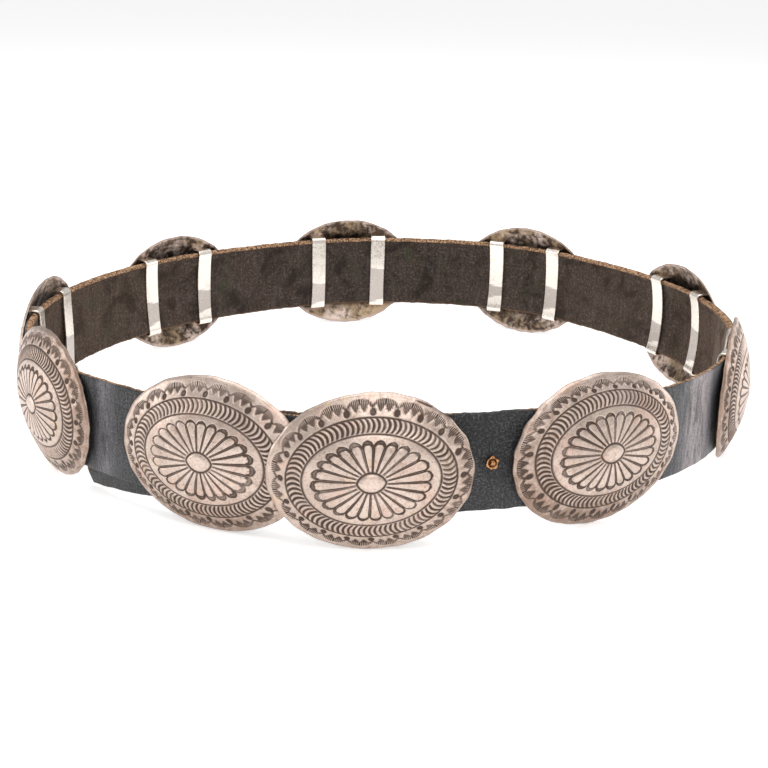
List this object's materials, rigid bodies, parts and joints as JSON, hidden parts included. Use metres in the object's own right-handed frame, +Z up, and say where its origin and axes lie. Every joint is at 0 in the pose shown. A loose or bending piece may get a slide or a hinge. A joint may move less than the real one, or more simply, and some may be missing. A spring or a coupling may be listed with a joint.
{
  "type": "concho belt",
  "caption": "Leather belt closed in a loop, carrying domed oval stamped silver conchos held by soldered strips, with an overlapping buckle concho.",
  "frame": {"origin": "middle of the belt's footprint, on the surface that the conchos' lower rims stand on", "axes": "+Z up along the belt's height; -Y is the front, where the buckle concho is; +X is to the right seen from the front"},
  "size_m": [0.3248, 0.3266, 0.06],
  "materials": {
    "strap_leather": "black grain side with fine creases, dark brown flesh side, raw tan edges",
    "stamped_silver": "worn hand-stamped silver with dark oxide in the stamping, tarnished hollow back, bright strips",
    "rivet_brass": "worn copper-brown brass"
  },
  "bodies": {
    "root": {"strap": "strap_leather", "buckle_concho": "stamped_silver", "concho_1": "stamped_silver", "concho_2": "stamped_silver", "concho_3": "stamped_silver", "concho_4": "stamped_silver", "concho_5": "stamped_silver", "concho_6": "stamped_silver", "concho_7": "stamped_silver", "concho_8": "stamped_silver", "concho_9": "stamped_silver", "rivet": "rivet_brass"}
  },
  "joints": []
}
